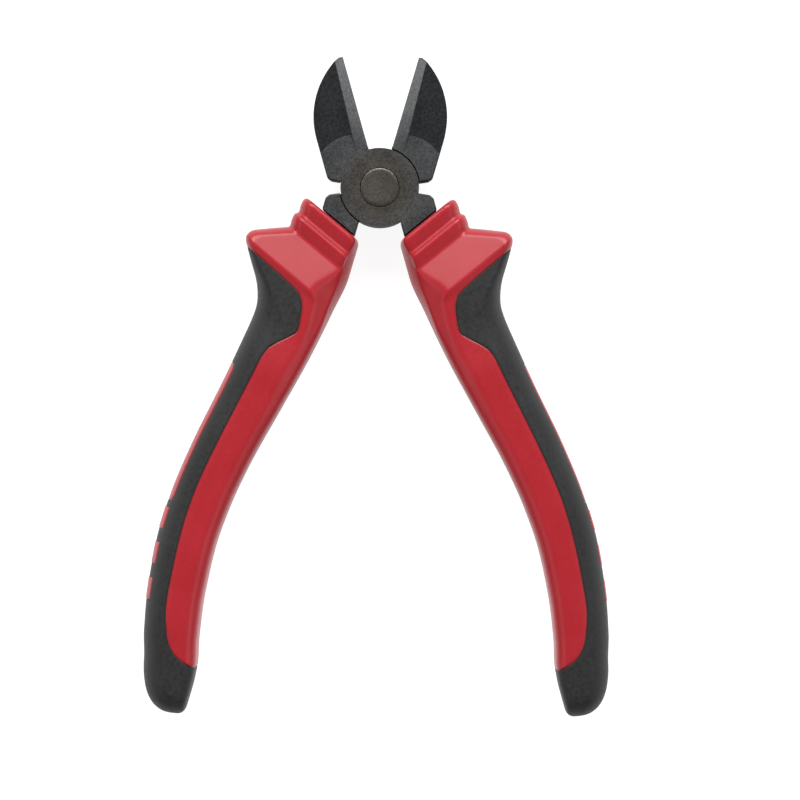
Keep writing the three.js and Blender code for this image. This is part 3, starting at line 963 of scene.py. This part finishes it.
def round_corners(work, side):
    corners = [edge for edge in work.edges if edge.is_manifold and edge.calc_face_angle() > corner_angle]
    bmesh.ops.bevel(
        work,
        geom=[edge for edge in corners if not keen(drawn([vert.co for vert in edge.verts], side))],
        offset=edge_round * MM,
        segments=2,
        profile=0.5,
        affect="EDGES",
        clamp_overlap=False,
        material=WORN_SHADED,
    # the rounded corners take the worn steel with its painted shade
    )
    work.normal_update()


def add_lever(node, side):
    work = merged_copy(node)
    for face in work.faces:
        middle = drawn([face.calc_center_median()], side)[0]
        tip = drawn([face.calc_center_median() + face.normal * MM], side)[0]
        face.material_index = finish_of(middle, tip - middle)
    round_corners(work, side)
    broad = {face for face in work.faces if abs(face.normal.z) > broad_facing and face.material_index != WORN_SHADED}
    for face in work.faces:
        face.smooth = True
    for edge in work.edges:
        edge.smooth = edge.calc_face_angle(0) < crease_angle and not broad.intersection(edge.link_faces)
    name = f"{node}_forging"
    piece = new_piece(name, mesh_from(work, name), side, node)
    for material in STEELS:
        piece.data.materials.append(material)
    return piece


levers = [add_lever("front_lever", "right"), add_lever("rear_lever", "left")]
print("levers:", [len(piece.data.polygons) for piece in levers], "faces")

# %% [markdown]
# The rivet is a turned pin. Its ends are pressed flush into the joint, which leaves a shallow dish and a
# fine dark ring round it. A turned piece is a profile spun about its axis, so we write the profile as pairs
# of a radius and a depth below the joint's face, and spin it.

# %% Rivet
rivet_radius = 3.0
head_radius = 4.47
head_depth = 1.6
turned_steps = 96
turned_crease = math.radians(40)
pole_distance = 1e-5


def rivet_profile():
    """From the middle of the upper face round to the middle of the lower one: radius and height."""
    dish = [(0, 0.12), (1.5, 0.11), (2.8, 0.07), (3.7, 0.03), (4.25, 0.02), (4.4, 0.1), (head_radius, 0.22)]
    head = dish + [(head_radius, head_depth), (rivet_radius, head_depth)]
    top = [(radius, joint_half - depth) for radius, depth in head]
    return top + [(radius, -height) for radius, height in reversed(top)]


def add_rivet():
    work = bmesh.new()
    verts = [work.verts.new((radius, 0, height)) for radius, height in rivet_profile()]
    edges = [work.edges.new(pair) for pair in zip(verts, verts[1:])]
    axis = {"cent": (0, 0, 0), "axis": (0, 0, 1)}
    bmesh.ops.spin(work, geom=verts + edges, **axis, angle=math.tau, steps=turned_steps, use_merge=True)
    bmesh.ops.remove_doubles(work, verts=work.verts, dist=pole_distance)
    bmesh.ops.recalc_face_normals(work, faces=work.faces)
    bmesh.ops.scale(work, vec=(MM, MM, MM), verts=work.verts)
    bmesh.ops.translate(work, vec=pivot * MM, verts=work.verts)
    mesh = mesh_from(work, "pivot_rivet_turned")
    mesh.materials.append(rivet_steel)
    mesh.shade_smooth()
    mesh.set_sharp_from_angle(angle=turned_crease)
    return new_piece("pivot_rivet_turned", mesh, "right", "pivot_rivet")


rivet = add_rivet()
print("rivet:", len(rivet.data.polygons), "faces")

# %% [markdown]
# Along the spine of each sleeve the core also shows as three plain bars. They repeat along a path, so a node
# tree makes them: a box is bent over the spine's bow, and one copy is set on each of a few points of the
# path. The bow is part of an ellipse, given as its flat, its depth and its height.

# %% Node tree of the bars
box_points = {"Vertices X": 4, "Vertices Y": 2, "Vertices Z": 17}
bar_sockets = {"Path": "Geometry", "Count": "Int", "Size": "Vector", "Shift": "Vector", "Bow": "Vector"}
bar_sockets |= {"Proud": "Float", "Material": "Material"}
bar_tree, given, result = new_group("spine_bars", "GeometryNodeTree", bar_sockets, {"Bars": "Geometry"})
box = add(bar_tree, "GeometryNodeMeshCube", {"Size": given["Size"], **box_points}).outputs["Mesh"]
raised = add(bar_tree, "GeometryNodeTransform", {"Geometry": box, "Translation": given["Shift"]}).outputs[0]

bow = add(bar_tree, "ShaderNodeSeparateXYZ", {0: given["Bow"]}).outputs
place = add(bar_tree, "GeometryNodeInputPosition").outputs[0]
spot = add(bar_tree, "ShaderNodeSeparateXYZ", {0: place}).outputs
step = partial(worked_out, bar_tree)
past_flat = step("MAXIMUM", step("SUBTRACT", step("ABSOLUTE", spot["Z"]), bow["X"]), 0.0)
square = step("POWER", step("DIVIDE", past_flat, bow["Z"]), 2.0)
root = step("SQRT", step("SUBTRACT", 1.0, square))
inward = step("MULTIPLY", step("SUBTRACT", root, 1.0), bow["Y"])
moved = step("ADD", inward, given["Proud"])
offset = add(bar_tree, "ShaderNodeCombineXYZ", {"Y": moved}).outputs["Vector"]
bent = add(bar_tree, "GeometryNodeSetPosition", {"Geometry": raised, "Offset": offset}).outputs[0]

path = add(bar_tree, "GeometryNodeMeshToCurve", {"Mesh": given["Path"]}).outputs["Curve"]
spots = add(bar_tree, "GeometryNodeCurveToPoints", {"Curve": path, "Count": given["Count"]}).outputs
along = {"Vector": spots["Tangent"]}
facing = add(bar_tree, "FunctionNodeAlignRotationToVector", along, axis="X", pivot_axis="Z")
copying = {"Points": spots["Points"], "Instance": bent, "Rotation": facing.outputs["Rotation"]}
copies = add(bar_tree, "GeometryNodeInstanceOnPoints", copying).outputs[0]
real = add(bar_tree, "GeometryNodeRealizeInstances", {0: copies}).outputs[0]
coating = {"Geometry": real, "Material": given["Material"]}
feed(bar_tree, result, {"Bars": add(bar_tree, "GeometryNodeSetMaterial", coating).outputs[0]})
print("the bars' tree has", len(bar_tree.nodes), "nodes")

# %% [markdown]
# The path runs along the spine from the first bar's middle to the last one's. The tree's result gets rounded
# corners from a Bevel modifier and is then turned into a plain mesh, because a finished piece carries no
# live modifiers.

# %% Bars along the spine
bar_count = 3
bar_length = 5.0
bar_pitch = 7.8
bar_depth = 1.6
bar_proud = 0.12
bar_round = 0.3
bar_corner = math.radians(50)
bar_crease = math.radians(40)
inlay_gap = 1.5
path_count = 25
first_bar = crest_back + inlay_start + inlay_length + inlay_gap + bar_length / 2
middle_bar = first_bar + bar_pitch * (bar_count - 1) / 2


def spine_bow(back):
    """The bow of the spine at one place: half its flat, its depth and its height."""
    half = float(half_at(back))
    nose = min(float(nose_at(back)), float(width_at(back)) / 2)
    drop = min(half - spine_flat / 2, nose * nose_depth)
    return Vector((half - drop, nose, drop))


def bar_path(side):
    """An object whose edges run along the middles of that side's bars."""
    backs = first_bar + bar_pitch * np.linspace(0, bar_count - 1, path_count)
    spine = across_grip(backs, width_at(backs))
    points = placed(np.column_stack((spine, 0 * backs)), side)[:: SIDES[side]]
    name = f"{side}_spine_path"
    mesh = bpy.data.meshes.new(name)
    mesh.from_pydata(points, [(k, k + 1) for k in range(path_count - 1)], [])
    return new_object(name, mesh)


def add_bars(side):
    maker = bar_path(side)
    settings = {
        "Count": bar_count,
        "Size": Vector((bar_length, bar_depth, inlay_height)) * MM,
        "Shift": Vector((0, 0, SIDES[side] * inlay_shift)) * MM,
        "Bow": spine_bow(middle_bar) * MM,
        "Proud": (bar_proud - bar_depth / 2) * MM,
        "Material": red_plastic,
    }
    bars = maker.modifiers.new("bars", "NODES")
    bars.node_group = bar_tree
    for socket in bar_tree.interface.items_tree:
        if socket.name in settings:
            bars[socket.identifier] = settings[socket.name]
    rounding = maker.modifiers.new("rounding", "BEVEL")
    rounding.width = bar_round * MM
    rounding.segments = 3
    rounding.limit_method = "ANGLE"
    rounding.angle_limit = bar_corner
    mesh = bpy.data.meshes.new_from_object(maker.evaluated_get(bpy.context.evaluated_depsgraph_get()))
    bpy.data.objects.remove(maker)
    name = f"{side}_spine_bars"
    mesh.name = name
    finish_moulding(mesh, bar_crease, np.full(len(mesh.vertices), far_from_seam))
    return new_piece(name, mesh, side)


bars = [add_bars(side) for side in SIDES]
print("bars:", [len(piece.data.polygons) for piece in bars], "faces")

# %% [markdown]
# The tool lies on a white ground. The floor is matt. To the camera, and in gloss, it also glows a little, so
# that it reads as white and keeps a faint shadow. More light would whiten it too, but it would bleach the
# tool as well.

# %% Floor
floor_size = 4.0
floor_grey = 0.34
floor_glow = 0.89
bpy.ops.mesh.primitive_plane_add(size=floor_size)
floor = bpy.context.object
floor.name = "floor"
floor_material, tree, shader, place = new_material("floor")
tree.nodes.remove(shader)
rays = add(tree, "ShaderNodeLightPath").outputs
seen = worked_out(tree, "MAXIMUM", rays["Is Camera Ray"], rays["Is Glossy Ray"])
seen = worked_out(tree, "MAXIMUM", seen, rays["Is Transmission Ray"])
glow = worked_out(tree, "MULTIPLY", seen, floor_glow)
matt = add(tree, "ShaderNodeBsdfDiffuse", {"Color": grey(floor_grey)}).outputs[0]
light = add(tree, "ShaderNodeEmission", {"Color": WHITE, "Strength": glow}).outputs[0]
both = add(tree, "ShaderNodeAddShader", {0: matt, 1: light}).outputs[0]
feed(tree, tree.nodes["Material Output"], {"Surface": both})
floor.data.materials.append(floor_material)
print("floor of", floor_size, "m with", len(tree.nodes), "nodes")

# %% [markdown]
# One large softbox stands low at the jaw end and makes the slopes that face it bright. On each side a fill
# lights the grips' flanks without showing in their gloss, and a weak rim lamp adds a thin shine along them.
# The room gives the rest.

# %% Light
key_spot, key_size, key_power = (0.0, 0.76, 0.6), (0.9, 0.55), 12.6
side_size = (0.6, 0.4)
fill_spot, fill_power = (0.7, -0.2, 0.5), 1.7
rim_spot, rim_power = (0.7, -0.2, 0.6), 0.7
room_light = 0.27


def softbox(name, spot, size, power, glossy):
    """A flat lamp that faces the tool."""
    lamp = bpy.data.lights.new(name, "AREA")
    lamp.shape = "RECTANGLE"
    lamp.size, lamp.size_y = size
    lamp.energy = power
    holder = new_object(name, lamp)
    holder.location = spot
    holder.rotation_euler = (-Vector(spot)).to_track_quat("-Z", "Y").to_euler()
    holder.visible_glossy = glossy


softbox("key", key_spot, key_size, key_power, True)
for side, over in SIDES.items():
    softbox(f"{side}_fill", (over * fill_spot[0], *fill_spot[1:]), side_size, fill_power, False)
    softbox(f"{side}_rim", (over * rim_spot[0], *rim_spot[1:]), side_size, rim_power, True)
world = bpy.data.worlds.new("room")
world.use_nodes = True
feed(world.node_tree, world.node_tree.nodes["Background"], {"Color": WHITE, "Strength": room_light})
bpy.context.scene.world = world
print("lamps:", [lamp.name for lamp in bpy.data.lights])

# %% [markdown]
# The photograph looks straight down, and so does the camera, through a long lens that shows hardly any
# perspective. The lens follows from the width of the picture at a height between the grips' middle and their
# upper faces.

# %% Camera
picture_width = 183.4
picture_centre = (5.02, -3.29)
picture_roll = math.radians(0.45)
camera_height = 900.0
seen_height = 12.0
camera = bpy.data.cameras.new("camera")
camera.lens = camera.sensor_width * (camera_height - seen_height) / picture_width
camera_object = new_object("camera", camera)
camera_object.location = Vector((*picture_centre, camera_height)) * MM
camera_object.rotation_euler = (0, 0, picture_roll)
bpy.context.scene.camera = camera_object
bpy.context.scene.view_settings.view_transform = "Standard"
print("lens:", round(camera.lens, 1), "mm")
